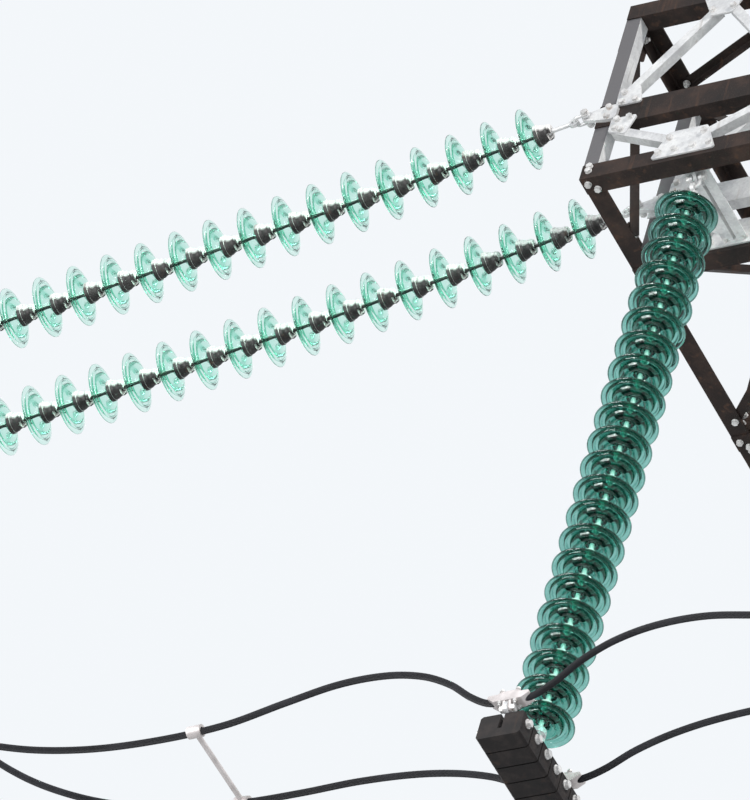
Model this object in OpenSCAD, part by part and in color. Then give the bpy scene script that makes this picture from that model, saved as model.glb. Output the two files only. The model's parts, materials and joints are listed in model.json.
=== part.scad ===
// Cross-arm tip of a lattice tension pylon, with its glass insulator strings,
// the weighted jumper string and the two jumper conductors.
// +X runs along the line, +Y from the tip in towards the tower body, +Z up.
// The origin is the middle of the flat back of the root beam, where the arm bolts on.

/* [Cross-arm] */
// Width of the arm along the line, over the heels of the chords
arm_w = 1000; // [900:10:1200]
// Height of the arm, from bottom heel to top heel
arm_h = 1140; // [1040:10:1300]
// Length of the end bay, from the tip frame to the inner frame
end_bay = 550; // [450:10:700]
// Length of each of the two bays behind it
bay = 1050; // [900:10:1200]
// Height of the beams that carry the strings, above the bottom heel
mid_height = 400; // [360:5:460]

/* [Steel sections] */
// Leg of the chord angles
chord_leg = 90; // [80:5:100]
// Thickness of the chord angles
chord_t = 9; // [8:1:12]
// Leg of the post angles
post_leg = 70; // [60:5:80]
// Leg of the bracing angles
brace_leg = 45; // [40:5:60]
// Thickness of beams, posts and bracing
light_t = 6; // [5:1:8]
// Thickness of the gusset plates
gusset_t = 8; // [6:1:10]
// Depth of the channels that carry the strings
channel_h = 140; // [120:10:160]

/* [Insulators] */
// Diameter of a glass disc
disc_d = 280; // [255:5:320]
// Spacing of the units of a tension string
tension_pitch = 170; // [160:1:195]
// Units in a tension string
tension_units = 20; // [16:1:22]
// Spacing of the units of the jumper string
jumper_pitch = 146; // [140:1:170]
// Units in the jumper string
jumper_units = 22; // [18:1:24]
// Slope of a tension string at the arm, in degrees
string_slope = 12.2; // [6:0.1:16]
// How much the slope eases from one unit to the next, in degrees
slope_step = 0.19; // [0:0.01:0.3]

/* [Jumper] */
// Distance of the jumper string from the tip frame
jumper_y = 140; // [120:5:180]
// Spacing of the two conductors at the jumper clamps
bundle_gap = 490; // [480:5:500]
// Diameter of a jumper conductor
conductor_d = 30; // [25:1:30]
// Number of counterweight blocks under the jumper yoke
weight_count = 6; // [3:1:6]

/* [Mounting] */
// Diameter of the bolt holes in the root frame
bolt_hole_d = 22; // [18:1:26]

/* [Hidden] */
$fn = 48;
arm_l = end_bay + 2 * bay;
half_w = arm_w / 2;
root_leg = 100;
root_t = 10;
// Moves the arm's own frame, tip at the bottom heel, to the origin at the root
place = [0, -arm_l, -root_leg / 2];

// Cap-and-pin unit, measured down from the top of its cap
cap_r = 50;
cap_h = 76;
socket_r = 17.5;
socket_lip = 7;
socket_floor = 20;
neck_r = 13;
ball_r = 16.2;
ball_h = 10;
shank_r = 10;
head_r = 34;
rim_r = 5;
rim_z = -112;
rib_places = [0.80, 0.62, 0.45];
rib_tip_z = -134;

// Shackle and ball-eye between an arm lug and the first cap
lug_t = 16;
lug_reach = 45;
pin_r = 10;
pin_hole_r = 11;
bow_r = 22;
bow_bar_r = 8;
bow_leg = 40;
ring_r = 24;
ring_z = -65;
tension_link = 170;
jumper_link = 120;

// Line end of the tension strings
clevis_l = 95;
clevis_t = 12;
yoke_t = 16;
yoke_depth = 120;
line_gap = 450;
barrel_r = 24;
barrel_bore_r = 15.5;
barrel_l = 620;
terminal_at = 170;
terminal_l = 150;
terminal_floor = 80;
terminal_tilt = 75;
string_ys = [-light_t - lug_t / 2, end_bay - light_t - lug_t / 2];
lug_x = half_w + lug_reach;

// Foot of the jumper string
jumper_pin_z = 20;
jumper_foot_z = jumper_pin_z - jumper_link - jumper_units * jumper_pitch;
jumper_eye_z = jumper_foot_z - clevis_l;
clamp_ys = [jumper_y - bundle_gap / 2, jumper_y + bundle_gap / 2];
clamp_z = -3375;
clamp_half = 95;
clamp_bolt_z = clamp_z - 48;
weight_size = [200, 84, 125];
weight_gap = 6;
weight_top_z = clamp_z - 98;
weight_slot_h = 80;
spacer_x = 1500;

// Routes of the conductors, from the middle of the clamp to the left terminal
outer_route = [
    [0, -105, -3375], [-95, -105, -3375], [-190, -112, -3325], [-300, -125, -3240],
    [-440, -135, -3170], [-620, -140, -3130], [-840, -140, -3130], [-1080, -135, -3175],
    [-1360, -125, -3230], [-1700, -115, -3235], [-2060, -100, -3190], [-2420, -85, -3090],
    [-2780, -65, -2920], [-3110, -50, -2680], [-3410, -30, -2370], [-3680, -10, -2000],
    [-3910, 5, -1580], [-4100, 20, -1150], [-4260, 32, -740], [-4376, 36, -444],
    [-4403, 36, -381]
];
inner_route = [
    [0, 385, -3375], [-95, 385, -3375], [-200, 375, -3350], [-330, 355, -3300],
    [-500, 335, -3262], [-700, 320, -3240], [-950, 312, -3232], [-1210, 310, -3240],
    [-1480, 315, -3230], [-1790, 330, -3180], [-2100, 350, -3085], [-2430, 375, -2930],
    [-2760, 400, -2720], [-3080, 420, -2450], [-3370, 440, -2120], [-3630, 455, -1740],
    [-3870, 468, -1290], [-4080, 478, -900], [-4260, 484, -680], [-4376, 486, -444],
    [-4403, 486, -381]
];
route_sides = 12;

weathered = [0.27, 0.20, 0.15];
galvanised = [0.72, 0.73, 0.72];
cast_grey = [0.30, 0.29, 0.29];
glass_green = [0.24, 0.55, 0.45];
alloy = [0.62, 0.63, 0.65];
conductor_black = [0.10, 0.10, 0.11];

// Points of an arc in the plane, from angle a to angle b
function arc(cx, cy, r, a, b, n) =
    [for (i = [0:n]) let (t = a + (b - a) * i / n) [cx + r * cos(t), cy + r * sin(t)]];

// Outline at distance r round a convex counter-clockwise polygon, with round corners
function rounded(p, r, n = 8) = let (m = len(p)) [
    for (i = [0:m - 1])
        let (a = p[(i + m - 1) % m], b = p[i], c = p[(i + 1) % m],
            from = atan2(b[1] - a[1], b[0] - a[0]) - 90,
            turn = (atan2(c[1] - b[1], c[0] - b[0]) - 90 - from + 720) % 360)
            for (q = arc(b[0], b[1], r, from, from + turn, n)) q
];

// Direction, and point, of a tension string after i units
function slope_at(i) = string_slope - slope_step * i;
function along(s, l) = [-l * cos(s), 0, -l * sin(s)];
function unit_point(i, y) =
    i == 0 ? [-lug_x, y, mid_height] + along(string_slope, tension_link)
           : unit_point(i - 1, y) + along(slope_at(i - 1), tension_pitch);
line_slope = slope_at(tension_units - 1);

// Section of a rolled angle: heel at the origin, legs along +x and +y, filleted root
module angle_section(leg, t) {
    difference() {
        square(leg);
        translate([2 * t, t]) square(leg);
        translate([t, 2 * t]) square(leg);
        translate([2 * t, 2 * t]) circle(t);
    }
}

// Section of a rolled channel: back on the x axis, flanges along +y
module channel_section(h, flange, t) {
    difference() {
        translate([-h / 2, 0]) square([h, flange]);
        translate([-h / 2 + t + t, t]) square([h - 4 * t, flange]);
        translate([-h / 2 + t, t + t]) square([h - 2 * t, flange]);
        for (s = [-1, 1]) translate([s * (h / 2 - 2 * t), 2 * t]) circle(t);
    }
}

module both_sides() {
    children();
    mirror([1, 0, 0]) children();
}

// Angle chord on the left: heel outside, one leg upright, one leg inwards
module chord(top) {
    color(weathered) translate(place)
        translate([-half_w, light_t, top ? arm_h : 0])
            mirror([0, 0, top ? 1 : 0])
                mirror([0, 1, 0]) rotate([90, 0, 0])
                    linear_extrude(arm_l - light_t - root_t) angle_section(chord_leg, chord_t);
}

// Angle beam across a frame: heel down and outside, coped where it meets the chords
module cross_beam(y, z, upright_reach, flat_reach) {
    translate([0, y - light_t, z]) difference() {
        translate([-half_w, 0, 0]) rotate([90, 0, 90])
            linear_extrude(arm_w) angle_section(chord_leg, light_t);
        both_sides() {
            translate([upright_reach, -1, 2 * light_t]) cube([arm_w, light_t + 2, arm_w]);
            translate([flat_reach, light_t, -1]) cube([arm_w, arm_w, arm_w]);
            if (upright_reach < half_w)
                translate([upright_reach, -1, light_t]) cube([arm_w, arm_w, arm_w]);
        }
    }
}

module bottom_beam(y) {
    color(weathered) translate(place)
        cross_beam(y, -light_t, y > 0 ? half_w - chord_leg - 2 : half_w, half_w);
}

module top_beam(y) {
    color(weathered) translate(place)
        cross_beam(y, arm_h - chord_leg, y > 0 ? half_w - chord_leg - 2 : half_w,
            half_w - chord_t - 4);
}

// Channel across a frame at the height of the strings, flanges inboard
module mid_beam(y) {
    flange = 55;
    flange_reach = half_w - post_leg - chord_t - 10;
    color(weathered) translate(place) translate([0, y - light_t, mid_height]) difference() {
        translate([-half_w, 0, 0]) rotate([90, 0, 90]) rotate([0, 0, 90]) mirror([0, 1, 0])
            linear_extrude(arm_w) channel_section(channel_h, flange, light_t);
        both_sides()
            translate([flange_reach, light_t, -arm_w / 2]) cube(arm_w);
        both_sides() for (z = [-30, 30])
            translate([half_w - 60, -1, z]) rotate([-90, 0, 0]) cylinder(d = 18, h = light_t + 2);
    }
}

// Angle posts between the chords: one leg in the frame, one leg inboard
module posts(y, inset) {
    both_sides()
        translate([-half_w + inset + post_leg, y, chord_t + 1]) mirror([1, 0, 0])
            linear_extrude(arm_h - chord_leg - chord_t - 2) angle_section(post_leg, light_t);
}

// Angle bar in a flat face, from a to b in the face's own x and y.
// Its flat leg lies on the face, its other leg stands up along the bar's lower edge.
module face_bar(a, b) {
    d = b - a;
    translate([a[0], a[1], 0]) rotate([0, 0, atan2(d[1], d[0])])
        translate([0, -brace_leg / 2, 0]) rotate([90, 0, 90])
            linear_extrude(norm(d)) angle_section(brace_leg, light_t);
}

module face_plate(points, r = 12) {
    translate([0, 0, -gusset_t]) linear_extrude(gusset_t) polygon(rounded(points, r));
}

// Puts a flat face's drawing into the plane of a frame, and of a side, looking inwards
module in_frame(y) translate([0, y - light_t, 0]) mirror([0, 1, 0]) rotate([90, 0, 0]) children();
module in_side() translate([-half_w, 0, 0]) rotate([90, 0, 90]) children();

// Inverted V over the string beam and V below it, with their gusset plates
module frame_bracing(y) {
    apex_z = arm_h - chord_leg - 60;
    foot_z = chord_leg + 40;
    end_x = half_w - 105;
    over_z = mid_height + channel_h / 2 + 40;
    under_z = mid_height - channel_h / 2 - 40;
    color(galvanised) translate(place) in_frame(y) {
        both_sides() {
            face_bar([-end_x, over_z], [-35, apex_z]);
            mirror([0, 1, 0]) face_bar([-70, -foot_z], [-end_x, -under_z]);
            face_plate([[-end_x - 10, mid_height + 55], [-end_x + 90, mid_height + 55],
                [-end_x + 70, over_z + 30], [-end_x - 10, over_z + 10]]);
            face_plate([[-end_x - 10, under_z - 10], [-end_x + 60, under_z - 35],
                [-end_x + 90, mid_height - 55], [-end_x - 10, mid_height - 55]]);
        }
        face_plate([[-45, apex_z - 45], [45, apex_z - 45], [110, arm_h - 50], [-110, arm_h - 50]]);
        face_plate([[-140, 30], [140, 30], [85, foot_z + 35], [-85, foot_z + 35]]);
    }
}

// Diagonals of one side, with the gusset plates on the outside of the chords
module side_bracing() {
    low = chord_leg + 40;
    high = arm_h - chord_leg - 40;
    nodes = [end_bay, end_bay + bay];
    color(galvanised) translate(place) in_side() {
        face_bar([80, high], [nodes[0] - 70, low]);
        face_bar([nodes[0] + 80, low], [nodes[1] - 80, high]);
        face_bar([nodes[1] + 80, high], [arm_l - 120, low]);
        face_plate([[20, high + 80], [20, high - 150], [190, high - 10], [190, high + 80]]);
        face_plate([[nodes[0] - 130, 30], [nodes[0] + 150, 30], [nodes[0] + 120, low + 40],
            [nodes[0] - 110, low + 50]]);
        face_plate([[nodes[1] - 120, high - 40], [nodes[1] + 120, high - 40],
            [nodes[1] + 150, high + 80], [nodes[1] - 150, high + 80]]);
        face_plate([[arm_l - 170, 30], [arm_l - 30, 30], [arm_l - 30, low + 40],
            [arm_l - 160, low + 40]]);
    }
}

// Diagonals in the bottom or the top face, bolted to the inside of the chords
module flat_bracing(starts) {
    x = half_w - chord_leg / 2;
    for (s = starts)
        face_bar([s[0] * x, s[1] + 75], [-s[0] * x, s[2] - 75]);
}

module bottom_bracing() {
    color(galvanised) translate(place) translate([0, 0, chord_t])
        flat_bracing([[1, end_bay, end_bay + bay], [-1, end_bay + bay, arm_l - 40]]);
}

module top_bracing() {
    color(galvanised) translate(place) translate([0, 0, arm_h - chord_t]) mirror([0, 0, 1])
        flat_bracing([[1, 0, end_bay], [-1, end_bay, end_bay + bay],
            [1, end_bay + bay, arm_l - 40]]);
}

// Plain frame between the two long bays
module bay_frame() {
    y = end_bay + bay;
    bottom_beam(y);
    top_beam(y);
    color(weathered) translate(place) {
        posts(y, chord_t + 1);
        in_frame(y) {
            face_bar([-half_w + 130, chord_leg + 20], [half_w - 130, arm_h - chord_leg - 40]);
            face_plate([[-half_w + 30, 30], [-half_w + 190, 30], [-half_w + 190, 150],
                [-half_w + 30, 150]]);
            face_plate([[half_w - 190, arm_h - 190], [half_w - 30, arm_h - 190],
                [half_w - 30, arm_h - 110], [half_w - 190, arm_h - 110]]);
        }
    }
}

// Root frame: four angles with their flat backs in one plane, drilled for the tower bolts
module root_frame() {
    color(weathered) translate(place) translate([0, arm_l, 0]) difference() {
        union() {
            for (top = [0, 1])
                translate([-half_w, 0, top ? arm_h - root_leg : root_leg])
                    mirror([0, 0, top ? 0 : 1]) mirror([0, 1, 0])
                        rotate([90, 0, 90]) linear_extrude(arm_w) angle_section(root_leg, root_t);
            both_sides()
                translate([-half_w + root_leg, 0, root_leg - root_t]) rotate([0, 0, 180])
                    linear_extrude(arm_h - 2 * root_leg + 2 * root_t)
                        angle_section(root_leg, root_t);
        }
        for (x = [-420, -300, 300, 420], z = [root_leg / 2, arm_h - root_leg / 2])
            translate([x, 1, z]) rotate([90, 0, 0]) cylinder(d = bolt_hole_d, h = root_t + 2);
    }
}

// Lug plates on the ends of the string beams, each with a hole for a shackle pin
module string_lugs() {
    color(galvanised) translate(place) both_sides() for (y = string_ys)
        translate([-lug_x, y + lug_t / 2, mid_height]) rotate([90, 0, 0])
            linear_extrude(lug_t) difference() {
                polygon(rounded([[0, 0], [100, -22], [125, -22], [125, 22], [100, 22]], 24));
                circle(pin_hole_r);
            }
}

// Shackle on a lug: its pin along y, its bow hanging down
module shackle() {
    ear_r = 18;
    rotate([90, 0, 0]) cylinder(r = pin_r, h = 2 * bow_r + 30, center = true);
    for (s = [-1, 1]) translate([0, s * bow_r, 0]) {
        rotate([90, 0, 0]) cylinder(r = ear_r, h = 2 * bow_bar_r - 2, center = true);
        mirror([0, 0, 1]) cylinder(r = bow_bar_r, h = bow_leg);
    }
    translate([0, 0, -bow_leg]) rotate([90, 0, 90]) mirror([0, 1, 0])
        rotate_extrude(angle = 180) translate([bow_r, 0]) circle(bow_bar_r, $fn = 24);
}

// Ball of a pin, seated in the socket of the next cap whose top is at z = 0
module ball() {
    translate([0, 0, -socket_lip - 1 - ball_h]) {
        rotate_extrude() polygon(concat([[0, 0]], arc(ball_r - 4, 4, 4, -90, 0, 5),
            arc(ball_r - 4, ball_h - 4, 4, 0, 60, 4), [[shank_r, ball_h], [0, ball_h]]));
    }
}

// Ring in the shackle's bow, with a shank and a ball for the first cap at depth l
module ball_eye(l) {
    translate([0, 0, ring_z]) rotate([90, 0, 0]) difference() {
        cylinder(r = ring_r, h = 2 * bow_bar_r, center = true);
        cylinder(r = pin_hole_r, h = 3 * bow_bar_r, center = true);
    }
    translate([0, 0, -l - socket_lip - 1])
        cylinder(r = shank_r, h = l + socket_lip + 1 + ring_z - ring_r + 4);
    translate([0, 0, -l]) ball();
}

// Bell-shaped cap: socket for a ball in its top, head of the glass cemented in below
module cap() {
    difference() {
        rotate_extrude() polygon(concat(
            [[0, 0], [26, 0]], arc(26, -8, 8, 90, 0, 4), arc(60, -24, 24, 160, 205, 4),
            [[44, -46]], arc(cap_r - 4, -cap_h + 14, 4, 90, -10, 4),
            [[cap_r, -cap_h], [head_r + 0.5, -cap_h], [head_r + 0.5, -58], [31, -36],
            [24, -26], [0, -26]]));
        translate([0, 0, -socket_floor]) cylinder(r = socket_r, h = socket_floor - socket_lip);
        translate([0, 0, -socket_lip - 1]) cylinder(r = neck_r, h = socket_lip + 2);
        translate([0, -socket_r, -socket_floor])
            cube([cap_r, 2 * socket_r, socket_floor - socket_lip]);
        translate([0, -neck_r, -socket_lip - 1]) cube([cap_r, 2 * neck_r, socket_lip + 2]);
    }
}

// Pin of a unit: head in the glass, shank, and the ball at the next cap
module pin(pitch) {
    translate([0, 0, -88]) cylinder(r = 17, h = 50);
    translate([0, 0, -pitch - socket_lip - 1]) cylinder(r = shank_r, h = pitch + socket_lip - 80);
    translate([0, 0, -pitch]) ball();
}

// Toughened glass shell: head, sloping shed with a rounded rim, and three ribs below
module shell() {
    r = disc_d / 2;
    top_z = -cap_h - 2;
    under = function(x) -94 - 12 * pow(x / r, 2);
    ribs = [for (q = rib_places) q * r];
    rotate_extrude(convexity = 6) polygon(concat(
        [[0, -27], [23, -27], [30, -37], [head_r, -58], [head_r, top_z]],
        [for (i = [0:7]) let (t = i / 7)
            [cap_r + 6 + (r - rim_r - cap_r - 6) * t, top_z - 28 * pow(t, 1.35)]],
        arc(r - rim_r, rim_z, rim_r, 60, -110, 6),
        [for (q = ribs) each [
            [q + 9, under(q + 9)], [q + 4, rib_tip_z + 6 + 8 * (1 - q / r)],
            [q + 1, rib_tip_z + 8 * (1 - q / r)], [q - 2, rib_tip_z + 3 + 8 * (1 - q / r)],
            [q - 6, under(q - 6)]
        ]],
        [[32, -94], [28, -104], [17.5, -104], [17.5, -37], [0, -37]]));
}

// Carries a child down a tension string, to each unit or to the end of the last one
module at_unit(i, y) translate(unit_point(i, y)) rotate([0, 90 - slope_at(i), 0]) children();
module at_line_end(y)
    translate(unit_point(tension_units, y)) rotate([0, 90 - line_slope, 0]) children();
module at_jumper_unit(i)
    translate([0, jumper_y, jumper_pin_z - jumper_link - i * jumper_pitch]) children();

module tension_links() {
    color(galvanised) translate(place) both_sides() for (y = string_ys)
        translate([-lug_x, y, mid_height]) rotate([0, 90 - string_slope, 0]) {
            shackle();
            ball_eye(tension_link);
        }
}

module tension_caps(y) {
    color(galvanised) translate(place) for (i = [0:tension_units - 1]) at_unit(i, y) {
        cap();
        pin(tension_pitch);
    }
}

module tension_glass(y) {
    color(glass_green) translate(place) for (i = [0:tension_units - 1]) at_unit(i, y) shell();
}

// Socket for the last ball, with a fork and pin for a yoke plate at depth clevis_l
module socket_clevis() {
    fork_top = -socket_floor - 16;
    difference() {
        union() {
            rotate_extrude() polygon(concat([[0, 0], [24, 0]], arc(24, -8, 8, 90, 0, 4),
                [[32, fork_top + 6], [26, fork_top], [0, fork_top]]));
            for (s = [-1, 1]) translate([s * (yoke_t / 2 + 0.5 + clevis_t / 2), 0, 0])
                rotate([90, 0, 90]) translate([0, 0, -clevis_t / 2]) linear_extrude(clevis_t)
                    polygon(rounded([[0, -clevis_l], [4, fork_top], [-4, fork_top]], 22));
        }
        translate([0, 0, -socket_floor]) cylinder(r = socket_r, h = socket_floor - socket_lip);
        translate([0, 0, -socket_lip - 1]) cylinder(r = neck_r, h = socket_lip + 2);
        translate([-socket_r, 0, -socket_floor])
            cube([2 * socket_r, cap_r, socket_floor - socket_lip]);
        translate([-neck_r, 0, -socket_lip - 1]) cube([2 * neck_r, cap_r, socket_lip + 2]);
    }
    translate([0, 0, -clevis_l]) rotate([0, 90, 0]) cylinder(r = pin_r, h = 64, center = true);
}

// Yoke plate that joins the two strings of a side and spreads the two conductors
module line_yoke() {
    half_in = (string_ys[1] - string_ys[0]) / 2;
    half_out = line_gap / 2;
    middle = (string_ys[0] + string_ys[1]) / 2;
    color(galvanised) translate(place) {
        for (y = string_ys) at_line_end(y) socket_clevis();
        at_line_end(middle) translate([-yoke_t / 2, 0, -clevis_l]) rotate([90, 0, 90])
            linear_extrude(yoke_t) difference() {
                polygon(rounded([[-half_out, -yoke_depth], [half_out, -yoke_depth],
                    [half_in, 0], [-half_in, 0]], 34));
                for (s = [-1, 1]) {
                    translate([s * half_in, 0]) circle(pin_hole_r);
                    translate([s * half_out, -yoke_depth]) circle(pin_hole_r);
                }
            }
    }
}

// Compression dead-end: fork, barrel open at its far end, and the jumper's terminal
module dead_end() {
    fork_l = 70;
    color(alloy) difference() {
        union() {
            for (s = [-1, 1]) translate([s * (yoke_t / 2 + 0.5 + clevis_t / 2), 0, 0])
                rotate([90, 0, 90]) translate([0, 0, -clevis_t / 2]) linear_extrude(clevis_t)
                    polygon(rounded([[0, 0], [-6, -fork_l], [6, -fork_l]], 22));
            translate([0, 0, -barrel_l]) cylinder(r = barrel_r, h = barrel_l - fork_l + 6);
            translate([0, 0, -fork_l - 26]) cylinder(r = barrel_r + 8, h = 30);
            translate([0, 0, -terminal_at]) rotate([0, terminal_tilt, 0])
                cylinder(r = 21, h = terminal_l);
        }
        translate([0, 0, -barrel_l - 1]) cylinder(r = barrel_bore_r, h = 120);
        translate([0, 0, -terminal_at]) rotate([0, terminal_tilt, 0])
            translate([0, 0, terminal_floor])
                cylinder(r = conductor_d / 2 + 0.4, h = terminal_l);
    }
    color(alloy) rotate([0, 90, 0]) cylinder(r = pin_r, h = 64, center = true);
}

module dead_ends() {
    middle = (string_ys[0] + string_ys[1]) / 2;
    translate(place) for (s = [-1, 1])
        at_line_end(middle + s * line_gap / 2) translate([0, 0, -clevis_l - yoke_depth])
            dead_end();
}

// Pair of angles between the end frames, with the lug that the jumper string hangs from
module jumper_hanger() {
    rail = 50;
    rail_z = jumper_pin_z + 25;
    length = end_bay - light_t;
    color(weathered) translate(place) difference() {
        union() {
            both_sides() translate([lug_t / 2, 0, rail_z]) mirror([0, 1, 0]) rotate([90, 0, 0])
                linear_extrude(length) angle_section(rail, light_t);
            for (y = [0, length - light_t])
                translate([-rail, y, rail_z - 12]) cube([2 * rail, light_t, rail - 10]);
            translate([-lug_t / 2, jumper_y, jumper_pin_z]) rotate([90, 0, 90])
                linear_extrude(lug_t)
                    polygon(rounded([[0, 0], [45, 30], [45, 52], [-45, 52], [-45, 30]], 20));
        }
        translate([0, jumper_y, jumper_pin_z]) rotate([0, 90, 0])
            cylinder(r = pin_hole_r, h = arm_w / 4, center = true);
    }
}

module jumper_link() {
    color(galvanised) translate(place) translate([0, jumper_y, jumper_pin_z])
        rotate([0, 0, 90]) {
            shackle();
            ball_eye(jumper_link);
        }
}

module jumper_caps() {
    color(galvanised) translate(place) for (i = [0:jumper_units - 1]) at_jumper_unit(i) {
        cap();
        pin(jumper_pitch);
    }
}

module jumper_glass() {
    color(glass_green) translate(place) for (i = [0:jumper_units - 1]) at_jumper_unit(i) shell();
}

// Deep yoke plate under the jumper string: a clamp at each end, weights astride below
module jumper_yoke() {
    web_low = weight_top_z - weight_slot_h + 4 - jumper_eye_z;
    half = bundle_gap / 2;
    end_z = clamp_bolt_z - jumper_eye_z;
    block_pitch = weight_size[1] + weight_gap;
    color(galvanised) translate(place) {
        at_jumper_unit(jumper_units) socket_clevis();
        translate([-yoke_t / 2, jumper_y, jumper_eye_z]) rotate([90, 0, 90])
            linear_extrude(yoke_t) difference() {
                union() {
                    polygon(rounded([[-half, end_z], [half, end_z], [40, 0], [-40, 0]], 30));
                    translate([-half + 5, web_low])
                        square([2 * half - 10, end_z - web_low]);
                }
                circle(pin_hole_r);
                for (s = [-1, 1]) translate([s * half, end_z]) circle(9);
                for (i = [0:weight_count - 1])
                    translate([(i - (weight_count - 1) / 2) * block_pitch, web_low + 34])
                        circle(9);
            }
    }
}

// Suspension clamp: boat-shaped body, keeper on top, two ears down to the yoke plate
module jumper_clamp() {
    body_w = 56;
    ear_t = 10;
    difference() {
        union() {
            rotate([90, 0, 0]) translate([0, 0, -body_w / 2]) linear_extrude(body_w)
                polygon(rounded([[-clamp_half + 35, -14], [clamp_half - 35, -14],
                    [clamp_half - 10, 4], [-clamp_half + 10, 4]], 10));
            rotate([90, 0, 0]) translate([0, 0, -body_w / 2 + 6]) linear_extrude(body_w - 12)
                polygon(rounded([[-50, 16], [50, 16], [38, 26], [-38, 26]], 6));
            for (s = [-1, 1]) translate([s * (yoke_t / 2 + 0.5 + ear_t / 2), 0, 0])
                rotate([90, 0, 90]) translate([0, 0, -ear_t / 2]) linear_extrude(ear_t)
                    polygon(rounded([[0, clamp_bolt_z - clamp_z], [8, -16], [-8, -16]], 18));
        }
        rotate([0, 90, 0]) cylinder(r = conductor_d / 2 + 0.4, h = 3 * clamp_half, center = true);
        for (s = [-1, 1]) translate([s * 62, 0, 15]) cube([26, arm_w, 2], center = true);
    }
    translate([0, 0, clamp_bolt_z - clamp_z]) rotate([0, 90, 0])
        cylinder(r = 8.5, h = 60, center = true);
}

module jumper_clamps() {
    color(alloy) translate(place) for (y = clamp_ys) translate([0, y, clamp_z]) jumper_clamp();
}

// Cast block astride the yoke plate, with a bolt through it and chamfered edges
module counterweight() {
    w = weight_size[0];
    h = weight_size[2];
    c = 10;
    slot = yoke_t + 2;
    rotate([90, 0, 0]) translate([0, 0, -weight_size[1] / 2]) difference() {
        linear_extrude(weight_size[1]) polygon([
            [-w / 2, -h + c], [-w / 2 + c, -h], [w / 2 - c, -h], [w / 2, -h + c],
            [w / 2, -c], [w / 2 - c, 0], [slot / 2, 0], [slot / 2, -weight_slot_h],
            [-slot / 2, -weight_slot_h], [-slot / 2, 0], [-w / 2 + c, 0], [-w / 2, -c]
        ]);
        translate([0, -weight_slot_h + 38, weight_size[1] / 2]) rotate([0, 90, 0])
            cylinder(r = 9, h = w + 2, center = true);
    }
}

module counterweights() {
    block_pitch = weight_size[1] + weight_gap;
    color(cast_grey) translate(place) for (i = [0:weight_count - 1])
        translate([0, jumper_y + (i - (weight_count - 1) / 2) * block_pitch, weight_top_z]) {
            counterweight();
            translate([0, 0, -weight_slot_h + 38]) rotate([0, 90, 0])
                cylinder(r = 8.5, h = weight_size[0] + 36, center = true);
        }
}

// Tube along a route: a ring of points square to the route at each of its points
function unit(v) = v / norm(v);
function tangent(p, i) = unit(p[min(i + 1, len(p) - 1)] - p[max(i - 1, 0)]);
function ring(p, i, r) =
    let (t = tangent(p, i), u = unit(cross(t, [0, 1, 0])), v = cross(t, u))
        [for (k = [0:route_sides - 1]) let (a = 360 * k / route_sides)
            p[i] + r * cos(a) * u + r * sin(a) * v];
module tube(p, r) {
    n = len(p);
    m = route_sides;
    polyhedron(
        points = [for (i = [0:n - 1]) each ring(p, i, r)],
        faces = concat(
            [[for (k = [0:m - 1]) m - 1 - k]],
            [for (i = [0:n - 2], k = [0:m - 1])
                [i * m + k, i * m + (k + 1) % m, (i + 1) * m + (k + 1) % m, (i + 1) * m + k]],
            [[for (k = [0:m - 1]) (n - 1) * m + k]]));
}
function whole(route) = concat(
    [for (i = [len(route) - 1:-1:0]) route[i]],
    [for (i = [1:len(route) - 1]) [-route[i][0], route[i][1], route[i][2]]]);

module conductor(route) {
    color(conductor_black) translate(place) tube(whole(route), conductor_d / 2);
}

// Point and direction of a conductor where it crosses a given x
function leg_at(route, x) = [for (i = [1:len(route) - 1])
    if (route[i][0] <= x && route[i - 1][0] > x) [route[i - 1], route[i]]][0];
function crossing(leg, x) =
    leg[0] + (leg[1] - leg[0]) * (x - leg[0][0]) / (leg[1][0] - leg[0][0]);

// Puts a cylinder's axis on a conductor's leg, centred where the leg crosses x
module on_leg(leg, x) {
    d = leg[1] - leg[0];
    translate(crossing(leg, x)) rotate([0, acos(d[2] / norm(d)), atan2(d[1], d[0])]) children();
}

// Spacer: a clamp round each conductor, joined by a bar
module spacer() {
    legs = [leg_at(outer_route, -spacer_x), leg_at(inner_route, -spacer_x)];
    ends = [for (l = legs) crossing(l, -spacer_x)];
    across = ends[1] - ends[0];
    clamp_r = conductor_d / 2 + 12;
    color(alloy) translate(place) difference() {
        union() {
            for (l = legs) on_leg(l, -spacer_x) cylinder(r = clamp_r, h = 64, center = true);
            translate(ends[0]) rotate([-90 + asin(across[2] / norm(across)), 0, 0])
                cylinder(r = 12, h = norm(across));
        }
        for (l = legs) on_leg(l, -spacer_x)
            cylinder(r = conductor_d / 2 + 0.5, h = 80, center = true);
    }
}

chord(false);  // bottom_chord_left
mirror([1, 0, 0]) chord(false);  // bottom_chord_right
chord(true);  // top_chord_left
mirror([1, 0, 0]) chord(true);  // top_chord_right
bottom_beam(0);  // tip_bottom_beam
mid_beam(0);  // tip_mid_beam
top_beam(0);  // tip_top_beam
color(galvanised) translate(place) posts(0, 0);  // tip_posts
frame_bracing(0);  // tip_bracing
bottom_beam(end_bay);  // inner_bottom_beam
mid_beam(end_bay);  // inner_mid_beam
top_beam(end_bay);  // inner_top_beam
color(galvanised) translate(place) posts(end_bay, chord_t + 1);  // inner_posts
frame_bracing(end_bay);  // inner_bracing
bay_frame();
root_frame();
side_bracing();  // side_bracing_left
mirror([1, 0, 0]) side_bracing();  // side_bracing_right
bottom_bracing();
top_bracing();
string_lugs();
tension_links();
tension_caps(string_ys[0]);  // caps_outer_left
tension_glass(string_ys[0]);  // glass_outer_left
tension_caps(string_ys[1]);  // caps_inner_left
tension_glass(string_ys[1]);  // glass_inner_left
mirror([1, 0, 0]) tension_caps(string_ys[0]);  // caps_outer_right
mirror([1, 0, 0]) tension_glass(string_ys[0]);  // glass_outer_right
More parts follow.
